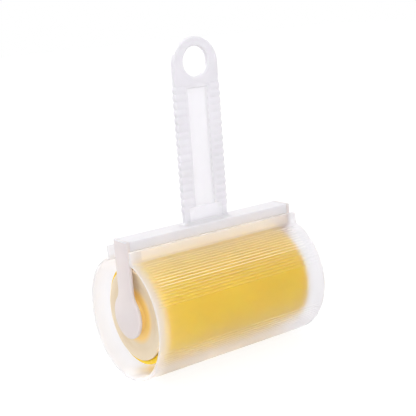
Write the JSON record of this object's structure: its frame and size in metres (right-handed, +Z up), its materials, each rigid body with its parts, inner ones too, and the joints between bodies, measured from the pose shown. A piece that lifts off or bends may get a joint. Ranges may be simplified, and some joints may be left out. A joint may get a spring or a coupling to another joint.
{
  "type": "lint roller",
  "caption": "Reusable lint roller: a flat hanging handle carries a sticky gel roller between two arms, inside a clear C-shaped cover.",
  "frame": {"origin": "on the ground plane under the middle of the cover, straight below the cover's axis", "axes": "+X along the roller towards its right end, -Y towards the front face of the handle, +Z up the handle"},
  "size_m": [0.105, 0.0632, 0.1642],
  "materials": {
    "frosted_white": "frosted white polypropylene, satin",
    "arm_white": "frosted white polypropylene, satin, slightly warm",
    "core_white": "plain white plastic tube",
    "cream_plastic": "cream translucent plastic, satin",
    "yellow_gel": "smooth tacky yellow gel",
    "frosted_clear": "clear polypropylene with a light frost and fine lengthwise ridges"
  },
  "bodies": {
    "frame": {"handle": "frosted_white", "crossbar": "frosted_white"},
    "left_arm": {"left_arm": "arm_white"},
    "right_arm": {"right_arm": "arm_white"},
    "roller": {"roller_core": "core_white", "left_end_cap": "cream_plastic", "right_end_cap": "cream_plastic", "gel_sleeve": "yellow_gel"},
    "cover": {"cover": "frosted_clear"}
  },
  "joints": [
    {"name": "roller_spin", "type": "hinge", "parent": "frame", "child": "roller", "pos_m": [0, -0.001, 0.0323], "axis": [1, 0, 0], "continuous": true},
    {"name": "left_arm_flex", "type": "hinge", "parent": "frame", "child": "left_arm", "pos_m": [-0.0516, -0.001, 0.0669], "axis": [0, 1, 0], "range_deg": [0, 6], "stiffness_Nm_per_rad": 1.1},
    {"name": "right_arm_flex", "type": "hinge", "parent": "frame", "child": "right_arm", "pos_m": [0.0516, -0.001, 0.0669], "axis": [0, -1, 0], "range_deg": [0, 6], "stiffness_Nm_per_rad": 1.1},
    {"name": "cover_slide", "type": "slide", "parent": "frame", "child": "cover", "axis": [1, 0, 0], "range_m": [-0.11, 0.11]}
  ]
}
